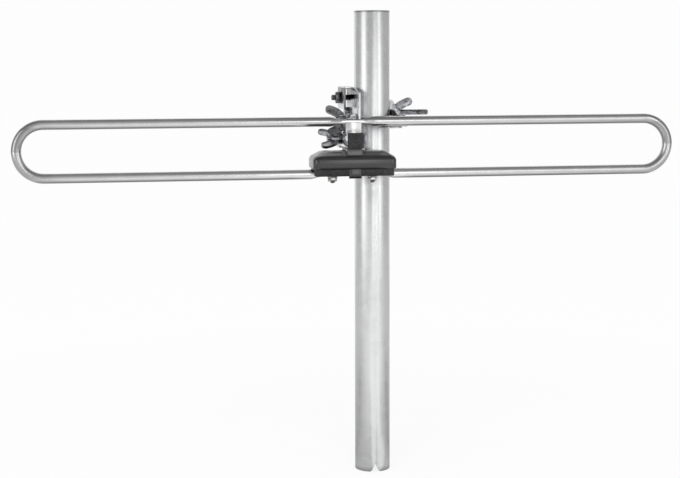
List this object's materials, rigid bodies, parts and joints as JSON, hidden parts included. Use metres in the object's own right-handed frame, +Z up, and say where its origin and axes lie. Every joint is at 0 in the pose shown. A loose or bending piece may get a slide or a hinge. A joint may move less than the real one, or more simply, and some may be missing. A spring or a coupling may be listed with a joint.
{
  "type": "outdoor dab antenna",
  "caption": "Outdoor DAB antenna: a flat folded-dipole loop on a short square boom over a terminal box, held to an upright mast tube by a toothed clamp with wing nuts.",
  "frame": {"origin": "on the mast tube's axis at its lower end", "axes": "+X along the dipole to the right, +Y from the terminal box towards the mast's back, +Z up the mast"},
  "size_m": [0.64, 0.1046, 0.46],
  "materials": {
    "galvanised_mast": "galvanised, drawn along its length",
    "bright_aluminium": "bright drawn",
    "black_plastic": "satin moulded",
    "zinc_steel": "blue-white zinc plated",
    "plated_brass": "nickel plated",
    "rubber_seal": "matt",
    "board_laminate": "satin",
    "ferrite": "matt sintered"
  },
  "bodies": {
    "mast": {"mast_tube": "galvanised_mast"},
    "head": {"balun_board": "board_laminate", "balun_core": "ferrite", "boom_bolt": "zinc_steel", "boom_front_plug": "black_plastic", "boom_rear_plug": "black_plastic", "boom_tube": "bright_aluminium", "boom_washer": "zinc_steel", "boom_wing_nut": "zinc_steel", "box_base": "black_plastic", "box_lid": "black_plastic", "box_seal": "rubber_seal", "centre_bolt": "zinc_steel", "centre_nut": "zinc_steel", "centre_washer": "zinc_steel", "clamp_sleeve": "zinc_steel", "clamp_washers": "zinc_steel", "coax_nut": "plated_brass", "coax_socket": "plated_brass", "dipole_loop": "bright_aluminium", "front_clamp_bolt": "zinc_steel", "front_wing_nut": "zinc_steel", "hood_bolt": "zinc_steel", "hood_nut": "zinc_steel", "mast_bracket": "zinc_steel", "mast_jaw": "zinc_steel", "rail_saddle": "bright_aluminium", "rear_clamp_bolt": "zinc_steel", "rear_wing_nut": "zinc_steel", "terminal_lugs": "plated_brass", "terminal_nuts": "plated_brass", "terminal_screws": "plated_brass", "terminal_washers": "plated_brass"}
  },
  "joints": [
    {"name": "head_turn", "type": "hinge", "parent": "mast", "child": "head", "pos_m": [0, 0, 0.3595], "axis": [0, 0, 1], "continuous": true}
  ]
}
